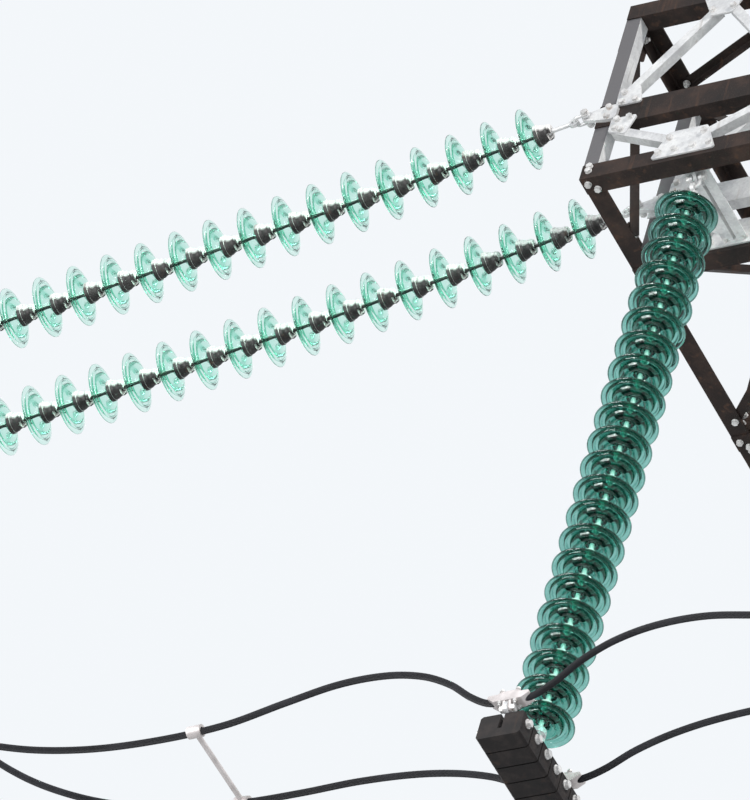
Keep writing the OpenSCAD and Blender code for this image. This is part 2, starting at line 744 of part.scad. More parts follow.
mirror([1, 0, 0]) tension_caps(string_ys[1]);  // caps_inner_right
mirror([1, 0, 0]) tension_glass(string_ys[1]);  // glass_inner_right
line_yoke();  // line_yoke_left
mirror([1, 0, 0]) line_yoke();  // line_yoke_right
dead_ends();  // dead_ends_left
mirror([1, 0, 0]) dead_ends();  // dead_ends_right
jumper_hanger();
jumper_link();
jumper_caps();
jumper_glass();
jumper_yoke();
jumper_clamps();
counterweights();
conductor(outer_route);  // conductor_outer
conductor(inner_route);  // conductor_inner
spacer();  // spacer_left
mirror([1, 0, 0]) spacer();  // spacer_right
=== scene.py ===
import json
import math
import bpy
from mathutils import Matrix, Vector


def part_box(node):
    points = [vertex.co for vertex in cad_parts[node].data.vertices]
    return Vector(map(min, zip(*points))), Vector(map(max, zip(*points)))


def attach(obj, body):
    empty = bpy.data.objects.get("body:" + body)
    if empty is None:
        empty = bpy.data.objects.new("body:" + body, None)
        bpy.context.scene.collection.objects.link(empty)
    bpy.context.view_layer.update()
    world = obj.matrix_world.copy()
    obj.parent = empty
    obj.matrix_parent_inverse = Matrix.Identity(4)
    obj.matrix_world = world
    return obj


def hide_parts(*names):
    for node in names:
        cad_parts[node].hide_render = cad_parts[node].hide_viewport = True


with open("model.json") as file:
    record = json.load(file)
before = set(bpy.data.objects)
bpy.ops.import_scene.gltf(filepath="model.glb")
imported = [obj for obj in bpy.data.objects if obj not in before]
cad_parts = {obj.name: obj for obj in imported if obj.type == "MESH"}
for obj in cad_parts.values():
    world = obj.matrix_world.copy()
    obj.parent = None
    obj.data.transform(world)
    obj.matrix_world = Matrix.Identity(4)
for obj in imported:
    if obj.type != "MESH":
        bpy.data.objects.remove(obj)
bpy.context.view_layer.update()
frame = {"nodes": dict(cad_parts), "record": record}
nodes = frame["nodes"]
scene = bpy.context.scene
scene.view_settings.view_transform = "Standard"

# the arm's own frame: y = 0 at the tip, z = 0 at the heels of the bottom chords
tip = Vector((0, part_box("tip_posts")[0].y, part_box("bottom_chord_left")[0].z))

cameraView = {
    "azimuth": 38.76,  # degrees round the tip
    "elevation": -43.73,  # from below
    "roll": 17.47,
    "distance": 36.508,
    "target": (-1.219, 0, -1.198),
    "lens": 383.94,
    "sensor": 36,
}


def makeCamera(v):
    a, e, roll = (math.radians(v[k]) for k in ("azimuth", "elevation", "roll"))
    back = Vector((math.sin(a) * math.cos(e), -math.cos(a) * math.cos(e), math.sin(e)))
    right = Vector((math.cos(a), math.sin(a), 0))
    up = back.cross(right)
    across = math.cos(roll) * right + math.sin(roll) * up
    above = math.cos(roll) * up - math.sin(roll) * right
    turn = Matrix((across, above, back)).transposed().to_4x4()
    data = bpy.data.cameras.new("photoView")
    data.lens, data.sensor_width = v["lens"], v["sensor"]
    data.clip_start, data.clip_end = 0.1, 3000
    cam = bpy.data.objects.new("photoView", data)
    scene.collection.objects.link(cam)
    cam.matrix_world = Matrix.Translation(tip + Vector(v["target"]) + back * v["distance"]) @ turn
    scene.camera = cam


makeCamera(cameraView)
print("camera placed")


# small helpers for the node trees of the materials
def addNode(tree, kind, **values):
    n = tree.nodes.new(kind)
    for key, value in values.items():
        if hasattr(n, key):
            setattr(n, key, value)
        else:
            n.inputs[key.replace("_", " ")].default_value = value
    return n


def plug(tree, socket, value):
    if isinstance(value, bpy.types.NodeSocket):
        tree.links.new(value, socket)
    else:
        socket.default_value = value


def addRamp(tree, source, stops):
    n = tree.nodes.new("ShaderNodeValToRGB")
    tree.links.new(source, n.inputs["Fac"])
    while len(n.color_ramp.elements) < len(stops):
        n.color_ramp.elements.new(0.5)
    for e, (at, colour) in zip(n.color_ramp.elements, stops):
        e.position, e.color = at, (*colour, 1)
    return n.outputs["Color"]


def addMix(tree, factor, a, b, blendType="MIX"):
    n = tree.nodes.new("ShaderNodeMix")
    n.data_type = "RGBA"
    n.blend_type = blendType
    for socket, value in ((n.inputs[0], factor), (n.inputs[6], a), (n.inputs[7], b)):
        plug(tree, socket, value)
    return n.outputs[2]


def addMath(tree, operation, a, b=0.0):
    n = tree.nodes.new("ShaderNodeMath")
    n.operation = operation
    plug(tree, n.inputs[0], a)
    plug(tree, n.inputs[1], b)
    return n.outputs[0]


def newGroup(name, inputs, outputs):
    g = bpy.data.node_groups.new(name, "ShaderNodeTree")
    for label, value in inputs:
        s = g.interface.new_socket(label, in_out="INPUT", socket_type="NodeSocketFloat")
        s.default_value = value
    for label in outputs:
        g.interface.new_socket(label, in_out="OUTPUT", socket_type="NodeSocketFloat")
    return g, g.nodes.new("NodeGroupInput"), g.nodes.new("NodeGroupOutput")


def addNoise(g, vector, scale, detail, roughness):
    n = addNode(g, "ShaderNodeTexNoise", Detail=detail, Roughness=roughness)
    plug(g, n.inputs["Vector"], vector)
    plug(g, n.inputs["Scale"], scale)
    return n.outputs["Fac"]


# broad stains, runs down the upright faces, and fine grain
def makeWeatherGroup():
    g, given, made = newGroup("weather", [("Broad", 6.0), ("Grain", 180.0), ("Runs", 22.0)],
                              ["Stain", "Run", "Speck"])
    place = addNode(g, "ShaderNodeTexCoord").outputs["Object"]
    squeeze = addNode(g, "ShaderNodeMapping")
    squeeze.inputs["Scale"].default_value = (1, 1, 0.09)
    g.links.new(place, squeeze.inputs["Vector"])
    for label, vector, scale, detail, roughness in (
            ("Stain", place, "Broad", 6.0, 0.6),
            ("Run", squeeze.outputs["Vector"], "Runs", 4.0, 0.55),
            ("Speck", place, "Grain", 3.0, 0.7)):
        g.links.new(addNoise(g, vector, given.outputs[scale], detail, roughness), made.inputs[label])
    return g


# zinc crystals: cells of slightly different tone
def makeSpangleGroup():
    g, given, made = newGroup("spangle", [("Cell", 70.0)], ["Tone", "Edge"])
    place = addNode(g, "ShaderNodeTexCoord").outputs["Object"]
    cells = addNode(g, "ShaderNodeTexVoronoi", feature="F1")
    borders = addNode(g, "ShaderNodeTexVoronoi", feature="DISTANCE_TO_EDGE")
    for n in (cells, borders):
        g.links.new(place, n.inputs["Vector"])
        g.links.new(given.outputs["Cell"], n.inputs["Scale"])
    split = g.nodes.new("ShaderNodeSeparateColor")
    g.links.new(cells.outputs["Color"], split.inputs[0])
    g.links.new(split.outputs[0], made.inputs["Tone"])
    g.links.new(addMath(g, "LESS_THAN", borders.outputs["Distance"], 0.04), made.inputs["Edge"])
    return g


weather = makeWeatherGroup()
spangle = makeSpangleGroup()


def newMaterial(name, **shader):
    m = bpy.data.materials.new(name)
    m.use_nodes = True
    t = m.node_tree
    bsdf = t.nodes["Principled BSDF"]
    for key, value in shader.items():
        bsdf.inputs[key.replace("_", " ")].default_value = value
    return m, t, bsdf


def addGroup(tree, group, **values):
    n = tree.nodes.new("ShaderNodeGroup")
    n.node_tree = group
    for key, value in values.items():
        n.inputs[key].default_value = value
    return n.outputs


def addBump(tree, bsdf, height, strength, distance):
    n = addNode(tree, "ShaderNodeBump", Strength=strength, Distance=distance)
    tree.links.new(height, n.inputs["Height"])
    tree.links.new(n.outputs["Normal"], bsdf.inputs["Normal"])


# one component of the way that a face points
def facing(tree, axis):
    split = tree.nodes.new("ShaderNodeSeparateXYZ")
    tree.links.new(tree.nodes.new("ShaderNodeNewGeometry").outputs["Normal"], split.inputs[0])
    return split.outputs[axis]


black, white = (0, 0, 0), (1, 1, 1)


# mottled metal: base colour by stains, darkened or rusted where runs come down; where asked, painted shade
# on faces pointing -Y and a painted sunlit top over painted shade below
def makeMetal(name, s):
    m, t, bsdf = newMaterial(name, Metallic=s["metallic"], Specular_IOR_Level=s["specular"])
    marks = addGroup(t, weather, Broad=s["broad"], Grain=s["grain"], Runs=s["runs"])
    stain, run, speck = (marks[k] for k in ("Stain", "Run", "Speck"))
    base = addRamp(t, stain, [(0.30, s["dark"]), (0.50, s["mid"]), (0.68, s["light"])])
    if "cell" in s:
        zinc = addGroup(t, spangle, Cell=s["cell"])
        tone = addRamp(t, zinc["Tone"], [(0.0, (0.86,) * 3), (1.0, white)])
        base = addMix(t, 1.0, base, tone, "MULTIPLY")
    if "outside" in s:  # painted shade: faces pointing -Y get the darker grey of a shaded side
        base = addMix(t, addMath(t, "LESS_THAN", facing(t, "Y"), -0.7), base, (*s["outside"], 1))
    if "paintedSunlitTop" in s:  # painted light and shade: faces pointing up blend to a pale sunlit colour, faces pointing down keep the dark base as painted shade
        paintedLitTopMask = addRamp(t, addMath(t, "ADD", facing(t, "Z"), 0.5), [(0.10, black), (0.42, white)])
        base = addMix(t, paintedLitTopMask, base, (*s["paintedSunlitTop"], 1))
    runMask = addRamp(t, run, [(s["runFrom"], black), (s["runTo"], white)])
    base = addMix(t, runMask, base, (*s["runColour"], 1))
    speckMask = addRamp(t, speck, [(0.60, black), (0.72, white)])
    base = addMix(t, addMath(t, "MULTIPLY", speckMask, s["speckShare"]), base, (*s["speckColour"], 1))
    t.links.new(base, bsdf.inputs["Base Color"])
    rough = addRamp(t, stain, [(0.35, (s["roughLow"],) * 3), (0.65, (s["roughHigh"],) * 3)])
    t.links.new(rough, bsdf.inputs["Roughness"])
    addBump(t, bsdf, speck, s["bump"], s["bumpDepth"])
    return m


metals = {
    "weatheredSteel": {
        "metallic": 0.0, "specular": 0.2, "broad": 7.0, "grain": 220.0, "runs": 26.0,
        "dark": (0.009, 0.006, 0.005), "mid": (0.022, 0.014, 0.012), "light": (0.052, 0.032, 0.025),
        "runFrom": 0.58, "runTo": 0.78, "runColour": (0.090, 0.046, 0.028),
        "speckShare": 0.5, "speckColour": (0.13, 0.10, 0.08),
        "roughLow": 0.5, "roughHigh": 0.78, "bump": 0.35, "bumpDepth": 0.0012,
    },
    "galvanisedSteel": {
        "metallic": 0.15, "specular": 0.5, "broad": 9.0, "grain": 120.0, "runs": 30.0, "cell": 85.0,
        "dark": (0.56, 0.56, 0.57), "mid": (0.74, 0.74, 0.74), "light": (0.84, 0.84, 0.83),
        "runFrom": 0.62, "runTo": 0.86, "runColour": (0.40, 0.36, 0.33),
        "speckShare": 0.3, "speckColour": (0.45, 0.42, 0.39),
        "roughLow": 0.42, "roughHigh": 0.62, "bump": 0.2, "bumpDepth": 0.0008,
    },
    "postSteel": {
        "metallic": 0.15, "specular": 0.35, "broad": 9.0, "grain": 120.0, "runs": 30.0, "cell": 85.0,
        "dark": (0.56, 0.56, 0.57), "mid": (0.74, 0.74, 0.74), "light": (0.84, 0.84, 0.83),
        # painted shade: the grey that faces pointing -Y get, standing for the shaded side of the posts
        "outside": (0.135, 0.130, 0.135),
        "runFrom": 0.60, "runTo": 0.84, "runColour": (0.17, 0.15, 0.14),
        "speckShare": 0.3, "speckColour": (0.30, 0.28, 0.26),
        "roughLow": 0.45, "roughHigh": 0.65, "bump": 0.25, "bumpDepth": 0.0008,
    },
    "castCaps": {
        "metallic": 0.2, "specular": 0.3, "broad": 14.0, "grain": 260.0, "runs": 30.0,
        # painted shade: near-black tones standing for the shaded underside of the caps; the pale top
        # colour on the next line is painted sunlight
        "dark": (0.014, 0.013, 0.013), "mid": (0.026, 0.024, 0.024), "light": (0.06, 0.056, 0.054),
        "paintedSunlitTop": (0.80, 0.78, 0.76),
        "runFrom": 0.60, "runTo": 0.80, "runColour": (0.09, 0.05, 0.03),
        "speckShare": 0.3, "speckColour": (0.22, 0.21, 0.20),
        "roughLow": 0.42, "roughHigh": 0.65, "bump": 0.3, "bumpDepth": 0.001,
    },
    "alloy": {
        "metallic": 0.2, "specular": 0.4, "broad": 10.0, "grain": 200.0, "runs": 20.0,
        "dark": (0.48, 0.44, 0.43), "mid": (0.66, 0.61, 0.60), "light": (0.80, 0.75, 0.74),
        "runFrom": 0.60, "runTo": 0.80, "runColour": (0.34, 0.30, 0.28),
        "speckShare": 0.3, "speckColour": (0.35, 0.33, 0.32),
        "roughLow": 0.38, "roughHigh": 0.55, "bump": 0.25, "bumpDepth": 0.0008,
    },
    "castWeights": {
        "metallic": 0.0, "specular": 0.2, "broad": 16.0, "grain": 240.0, "runs": 18.0,
        "dark": (0.009, 0.008, 0.008), "mid": (0.018, 0.015, 0.015), "light": (0.040, 0.033, 0.031),
        "runFrom": 0.60, "runTo": 0.80, "runColour": (0.060, 0.036, 0.026),
        "speckShare": 0.35, "speckColour": (0.08, 0.07, 0.06),
        "roughLow": 0.55, "roughHigh": 0.8, "bump": 0.6, "bumpDepth": 0.0018,
    },
    "boltSteel": {
        "metallic": 0.2, "specular": 0.5, "broad": 30.0, "grain": 300.0, "runs": 40.0,
        "dark": (0.50, 0.49, 0.48), "mid": (0.70, 0.69, 0.68), "light": (0.84, 0.83, 0.82),
        "runFrom": 0.58, "runTo": 0.80, "runColour": (0.30, 0.20, 0.14),
        "speckShare": 0.3, "speckColour": (0.36, 0.30, 0.26),
        "roughLow": 0.36, "roughHigh": 0.55, "bump": 0.25, "bumpDepth": 0.0005,
    },
    "conductorMetal": {
        "metallic": 0.1, "specular": 0.2, "broad": 5.0, "grain": 300.0, "runs": 12.0,
        "dark": (0.010, 0.010, 0.012), "mid": (0.018, 0.018, 0.022), "light": (0.035, 0.035, 0.042),
        "runFrom": 0.62, "runTo": 0.85, "runColour": (0.05, 0.05, 0.055),
        "speckShare": 0.2, "speckColour": (0.08, 0.08, 0.08),
        "roughLow": 0.45, "roughHigh": 0.65, "bump": 0.2, "bumpDepth": 0.0005,
    },
}
materials = {name: makeMetal(name, s) for name, s in metals.items()}

# toughened glass: a green body, with dust where the stain lies and lighter shadows
glassLooks = {
    "jumperGlass": {"colour": (0.30, 0.59, 0.54), "dusty": (0.20, 0.46, 0.42), "shade": (0.6, 0.85, 0.8),
                    "roughness": 0.05, "ior": 1.5, "depth": (0.20, 0.66, 0.58), "density": 22.0},
    # painted light: the tension strings get a paler, clearer copy of the same green glass, standing for
    # how lit they look
    "stringGlassPaintedLit": {"colour": (0.74, 0.93, 0.87), "dusty": (0.84, 0.96, 0.92), "shade": (0.8, 0.95, 0.9),
                    "roughness": 0.05, "ior": 1.25, "depth": (0.45, 0.85, 0.75), "density": 8.0},
}


def makeGlass(name, s):
    m, t, bsdf = newMaterial(name, Roughness=s["roughness"], IOR=s["ior"], Transmission_Weight=1.0)
    marks = addGroup(t, weather, Broad=16.0, Grain=300.0, Runs=20.0)
    t.links.new(addRamp(t, marks["Stain"], [(0.4, s["colour"]), (0.72, s["dusty"])]),
                bsdf.inputs["Base Color"])
    addBump(t, bsdf, marks["Stain"], 0.15, 0.004)
    clear = addNode(t, "ShaderNodeBsdfTransparent")
    clear.inputs["Color"].default_value = (*s["shade"], 1)
    mix = t.nodes.new("ShaderNodeMixShader")
    t.links.new(t.nodes.new("ShaderNodeLightPath").outputs["Is Shadow Ray"], mix.inputs[0])
    t.links.new(bsdf.outputs[0], mix.inputs[1])
    t.links.new(clear.outputs[0], mix.inputs[2])
    t.links.new(mix.outputs[0], t.nodes["Material Output"].inputs["Surface"])
    body = addNode(t, "ShaderNodeVolumeAbsorption", Density=s["density"])
    body.inputs["Color"].default_value = (*s["depth"], 1)
    t.links.new(body.outputs[0], t.nodes["Material Output"].inputs["Volume"])
    return m


for name, look in glassLooks.items():
    materials[name] = makeGlass(name, look)

bySlot = {
    "weathered_steel": "weatheredSteel",
    "galvanised_steel": "galvanisedSteel",
    "cast_caps": "castCaps",
    "green_glass": "jumperGlass",
    "alloy": "alloy",
    "cast_weights": "castWeights",
    "conductor": "conductorMetal",
}
byNode = {
    "tip_posts": "postSteel", "inner_posts": "postSteel", "inner_mid_beam": "galvanisedSteel",
    "jumper_hanger": "galvanisedSteel", "side_bracing_left": "weatheredSteel",
    "side_bracing_right": "weatheredSteel", "bottom_bracing": "weatheredSteel",
    "top_bracing": "weatheredSteel",
}
for part in frame["record"]["subparts"]:
    mesh = nodes[part["node"]].data
    mesh.materials.clear()
    mesh.materials.append(materials[byNode.get(part["node"], bySlot[part["material_slot"]])])
print("materials made")


# jumper conductors, from the middle of the clamp to the left terminal, in the arm's own frame
conductor = {"radius": 0.015, "strands": 20, "perStrand": 3, "lay": 0.36, "groove": 0.0016,
             "step": 0.02}
routes = {
    "Outer": [
        (0, -0.105, -3.375), (-0.095, -0.105, -3.375), (-0.19, -0.112, -3.325), (-0.3, -0.125, -3.24),
        (-0.44, -0.135, -3.17), (-0.62, -0.14, -3.13), (-0.84, -0.14, -3.13), (-1.08, -0.135, -3.175),
        (-1.36, -0.125, -3.23), (-1.7, -0.115, -3.235), (-2.06, -0.1, -3.19), (-2.42, -0.085, -3.09),
        (-2.78, -0.065, -2.92), (-3.11, -0.05, -2.68), (-3.41, -0.03, -2.37), (-3.68, -0.01, -2),
        (-3.91, 0.005, -1.58), (-4.1, 0.02, -1.15), (-4.26, 0.032, -0.74), (-4.376, 0.036, -0.444),
        (-4.403, 0.036, -0.381)],
    "Inner": [
        (0, 0.385, -3.375), (-0.095, 0.385, -3.375), (-0.2, 0.375, -3.35), (-0.33, 0.355, -3.3),
        (-0.5, 0.335, -3.262), (-0.7, 0.32, -3.24), (-0.95, 0.312, -3.232), (-1.21, 0.31, -3.24),
        (-1.48, 0.315, -3.23), (-1.79, 0.33, -3.18), (-2.1, 0.35, -3.085), (-2.43, 0.375, -2.93),
        (-2.76, 0.4, -2.72), (-3.08, 0.42, -2.45), (-3.37, 0.44, -2.12), (-3.63, 0.455, -1.74),
        (-3.87, 0.468, -1.29), (-4.08, 0.478, -0.9), (-4.26, 0.484, -0.68), (-4.376, 0.486, -0.444),
        (-4.403, 0.486, -0.381)],
}


# even steps along a smooth curve through the points
def smoothPath(points, step):
    fine = []
    for i in range(len(points) - 1):
        before = points[max(i - 1, 0)]
        a, b = points[i], points[i + 1]
        after = points[min(i + 2, len(points) - 1)]
        span = (b - a).length
        leave = (b - before) * span / max((b - before).length, 1e-6)
        arrive = (after - a) * span / max((after - a).length, 1e-6)
        for k in range(40):
            t = k / 40
            fine.append((2 * t**3 - 3 * t**2 + 1) * a + (t**3 - 2 * t**2 + t) * leave
                        + (3 * t**2 - 2 * t**3) * b + (t**3 - t**2) * arrive)
    fine.append(points[-1])
    total = sum((q - p).length for p, q in zip(fine, fine[1:]))
    count = round(total / step)
    even, walked, goal = [fine[0]], 0, total / count
    for p, q in zip(fine, fine[1:]):
        length = (q - p).length
        while walked + length >= goal * len(even) and len(even) < count:
            even.append(p.lerp(q, (goal * len(even) - walked) / length))
        walked += length
    even.append(fine[-1])
    return even, total


def makeConductor(row, route, s):
    name = "conductor" + row
    left = [Vector(p) for p in route]
    right = [Vector((-x, y, z)) for x, y, z in route[1:]]
    path, length = smoothPath([tip + p for p in left[::-1] + right], s["step"])
    sides = s["strands"] * s["perStrand"]
    verts, faces = [], []
    side = Vector((0, 1, 0))
    walked = 0
    for i, p in enumerate(path):
        along = (path[min(i + 1, len(path) - 1)] - path[max(i - 1, 0)]).normalized()
        side = (side - side.dot(along) * along).normalized()
        up = along.cross(side)
        if i:
            walked += (p - path[i - 1]).length
        twist = walked / s["lay"] * math.tau
        for k in range(sides):
            a = math.tau * k / sides + twist
            r = s["radius"] - (s["groove"] if k % s["perStrand"] == 0 else 0)
            verts.append(p + r * (math.cos(a) * side + math.sin(a) * up))
        if i:
            o, q = (i - 1) * sides, i * sides
            faces += [(o + k, o + (k + 1) % sides, q + (k + 1) % sides, q + k) for k in range(sides)]
    faces.append(tuple(reversed(range(sides))))
    faces.append(tuple(range(len(verts) - sides, len(verts))))
    mesh = bpy.data.meshes.new(name)
    mesh.from_pydata(verts, [], faces)
    mesh.materials.append(materials["conductorMetal"])
    obj = bpy.data.objects.new(name, mesh)
    scene.collection.objects.link(obj)
    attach(obj, "root")
    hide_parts("conductor_" + row.lower())
    print(name, "is", round(length, 2), "m long")


for row, route in routes.items():
    makeConductor(row, route, conductor)


# helpers for the geometry trees
def newTree(name, inputs):
    g = bpy.data.node_groups.new(name, "GeometryNodeTree")
    g.interface.new_socket("Geometry", in_out="INPUT", socket_type="NodeSocketGeometry")
    for label, kind, value in inputs:
        s = g.interface.new_socket(label, in_out="INPUT", socket_type="NodeSocket" + kind)
        if value is not None:
            s.default_value = value
    g.interface.new_socket("Geometry", in_out="OUTPUT", socket_type="NodeSocketGeometry")
    return g, g.nodes.new("NodeGroupInput").outputs, g.nodes.new("NodeGroupOutput").inputs


def endTree(g, geometry, material, made):
    whole = g.nodes.new("GeometryNodeRealizeInstances")
    finish = g.nodes.new("GeometryNodeSetMaterial")
    g.links.new(geometry, whole.inputs["Geometry"])
    g.links.new(whole.outputs[0], finish.inputs["Geometry"])
    g.links.new(material, finish.inputs["Material"])
    g.links.new(finish.outputs[0], made[0])


def vectorOf(g, x=0.0, y=0.0, z=0.0):
    n = g.nodes.new("ShaderNodeCombineXYZ")
    for socket, value in zip(n.inputs, (x, y, z)):
        plug(g, socket, value)
    return n.outputs[0]


def vectorCalc(g, operation, a, b=None, scale=None):
    n = g.nodes.new("ShaderNodeVectorMath")
    n.operation = operation
    plug(g, n.inputs[0], a)
    if b is not None:
        plug(g, n.inputs[1], b)
    if scale is not None:
        plug(g, n.inputs["Scale"], scale)
    return n.outputs[0]


def runTree(name, mesh, tree, values, replaced=()):
    source = bpy.data.objects.new(name + "Source", mesh)
    scene.collection.objects.link(source)
    mod = source.modifiers.new("build", "NODES")
    mod.node_group = tree
    for item in tree.interface.items_tree:
        if item.item_type == "SOCKET" and item.in_out == "INPUT" and item.name in values:
            mod[item.identifier] = values[item.name]
    bpy.context.view_layer.update()
    graph = bpy.context.evaluated_depsgraph_get()
    made = bpy.data.meshes.new_from_object(source.evaluated_get(graph), depsgraph=graph)
    bpy.data.objects.remove(source)
    piece = bpy.data.objects.new(name, made)
    scene.collection.objects.link(piece)
    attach(piece, "root")
    if replaced:
        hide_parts(*replaced)
    print(name, "has", len(made.polygons), "faces")
    return piece


# a string of units: each hangs on the one before, and the slope eases from unit to unit
def makeStringTree():
    g, given, made = newTree("insulatorString", [
        ("Unit", "Object", None), ("Count", "Int", 20), ("Pitch", "Float", 0.17),
        ("Start", "Vector", None), ("Slope", "Float", 0.2), ("Slope Step", "Float", 0.0),
        ("Side", "Float", 1.0), ("Finish", "Material", None)])
    line = g.nodes.new("GeometryNodeMeshLine")
    line.inputs["Offset"].default_value = (0, 0, 0)
    g.links.new(given["Count"], line.inputs["Count"])
    index = g.nodes.new("GeometryNodeInputIndex").outputs[0]
    slope = addMath(g, "SUBTRACT", given["Slope"], addMath(g, "MULTIPLY", given["Slope Step"], index))
    across = addMath(g, "MULTIPLY", addMath(g, "COSINE", slope), given["Side"])
    reach = vectorOf(g, across, 0.0, addMath(g, "SINE", slope))
    step = vectorCalc(g, "SCALE", reach, scale=addMath(g, "MULTIPLY", given["Pitch"], -1.0))
    walked = g.nodes.new("GeometryNodeAccumulateField")
    walked.data_type = "FLOAT_VECTOR"
    g.links.new(step, walked.inputs[0])
    place = g.nodes.new("GeometryNodeSetPosition")
    g.links.new(line.outputs[0], place.inputs["Geometry"])
    g.links.new(vectorCalc(g, "ADD", walked.outputs["Trailing"], given["Start"]),
                place.inputs["Position"])
    unit = g.nodes.new("GeometryNodeObjectInfo")
    g.links.new(given["Unit"], unit.inputs[0])
    hang = g.nodes.new("GeometryNodeInstanceOnPoints")
    g.links.new(place.outputs[0], hang.inputs["Points"])
    g.links.new(unit.outputs["Geometry"], hang.inputs["Instance"])
    lean = addMath(g, "MULTIPLY", addMath(g, "SUBTRACT", math.pi / 2, slope), given["Side"])
    g.links.new(vectorOf(g, 0.0, lean, 0.0), hang.inputs["Rotation"])
    endTree(g, hang.outputs[0], given["Finish"], made)
    return g


stringTree = makeStringTree()

# glass shell, measured down from the top of its cap, in millimetres: a sloping shed with a
# rounded rim, one low rib below it, and a smooth bell round the pin
shell = {
    "radius": 140, "segments": 48, "headRadius": 34, "capRadius": 50, "topZ": -78, "drop": 28,
    "dropCurve": 1.35,
    "rimRadius": 5, "rimZ": -112, "underZ": -104, "ribRadius": 112, "ribDepth": 13, "ribHalf": 8,
    "bellOut": 94, "bellTip": 64, "bellIn": 40, "bellTopZ": -102, "bellTipZ": -132,
    "head": [(0, -27), (23, -27), (30, -37), (34, -58)],  # inside the cap
    "bore": [(34, -95), (30, -97), (27, -104), (17.5, -104), (17.5, -37), (0, -37)],  # round the pin
}


def shellProfile(s):
    r, cap, rim = s["radius"], s["capRadius"], s["rimRadius"]
    points = s["head"] + [(s["headRadius"], s["topZ"]), (cap + 4, s["topZ"])]
    for i in range(1, 8):
        t = i / 7
        points.append((cap + 6 + (r - rim - cap - 6) * t, s["topZ"] - s["drop"] * t ** s["dropCurve"]))
    for i in range(1, 8):
        a = math.radians(60 - 170 * i / 7)
        points.append((r - rim + rim * math.cos(a), s["rimZ"] + rim * math.sin(a)))
    for i in range(9):
        a = math.pi * i / 8
        points.append((s["ribRadius"] + s["ribHalf"] * math.cos(a),
                       s["underZ"] - s["ribDepth"] * math.sin(a)))
    deep = s["bellTopZ"] - s["bellTipZ"]
    for i in range(13):
        a = math.pi / 2 * i / 12
        points.append((s["bellTip"] + (s["bellOut"] - s["bellTip"]) * math.cos(a),
                       s["bellTopZ"] - deep * math.sin(a)))
    for i in range(1, 10):
        a = math.pi / 2 * i / 9
        points.append((s["bellTip"] - (s["bellTip"] - s["bellIn"]) * math.sin(a),
                       s["bellTopZ"] - deep * math.cos(a) ** 0.8))
    return points + s["bore"]


def makeTurned(name, profile, segments, sharp=40):
    verts, rings, faces = [], [], []
    for r, z in profile:
        count = segments if r > 0 else 1
        rings.append([len(verts) + k for k in range(count)])
        verts += [(r / 1000 * math.cos(math.tau * k / count), r / 1000 * math.sin(math.tau * k / count),
                   z / 1000) for k in range(count)]
    for above, below in zip(rings, rings[1:]):
        for k in range(segments):
            ring = [above[k % len(above)], below[k % len(below)],
                    below[(k + 1) % len(below)], above[(k + 1) % len(above)]]
            faces.append(tuple(dict.fromkeys(ring)))
    mesh = bpy.data.meshes.new(name)
    mesh.from_pydata(verts, [], faces)
    mesh.shade_smooth()
    mesh.set_sharp_from_angle(angle=math.radians(sharp))
    obj = bpy.data.objects.new(name, mesh)
    scene.collection.objects.link(obj)
    return obj


strings = {
    "lugX": 0.545, "lugY": (-0.014, 0.536), "lugZ": 0.400, "link": 0.170, "slope": 12.2,
    "slopeStep": 0.19, "pitch": 0.170, "count": 20,
    "jumper": (0, 0.140, -0.100), "jumperPitch": 0.146, "jumperCount": 22,
    "lugPin": 0.029, "eyePin": 0.0205, "eyeAlong": 0.095, "lineAlong": 0.215, "lineHalf": 0.225,
}


def makeGlassStrings(s):
    unit = makeTurned("glassUnit", shellProfile(shell), shell["segments"])
    slope, step = math.radians(s["slope"]), math.radians(s["slopeStep"])
    jobs = {"glassJumper": ("jumper_glass", Vector(s["jumper"]), s["jumperCount"], s["jumperPitch"],
                            math.pi / 2, 0.0, 1.0)}
    for y, row in zip(s["lugY"], ("Outer", "Inner")):
        for side, hand in ((1.0, "Left"), (-1.0, "Right")):
            start = Vector((-s["lugX"] * side, y, s["lugZ"]))
            start += s["link"] * Vector((-math.cos(slope) * side, 0, -math.sin(slope)))
            jobs["glass" + row + hand] = ("glass_%s_%s" % (row.lower(), hand.lower()), start, s["count"],
                                          s["pitch"], slope, step, side)
    for name, (node, start, count, pitch, lean, ease, side) in jobs.items():
        runTree(name, bpy.data.meshes.new(name), stringTree, {
            "Unit": unit, "Count": count, "Pitch": pitch, "Start": tip + start, "Slope": lean,
            "Slope Step": ease, "Side": side,
            "Finish": materials["jumperGlass" if node == "jumper_glass" else "stringGlassPaintedLit"]},
            [node])
    bpy.data.objects.remove(unit)


makeGlassStrings(strings)
print("glass strings made")


# sides of the round and six-sided parts, with radius and height as shares of the head's size
boltShape = {"washerSides": 16, "headSides": 6, "crownSides": 12, "threadSides": 10,
             "crownRadius": 0.44, "crownHeight": 0.12, "threadRadius": 0.32}


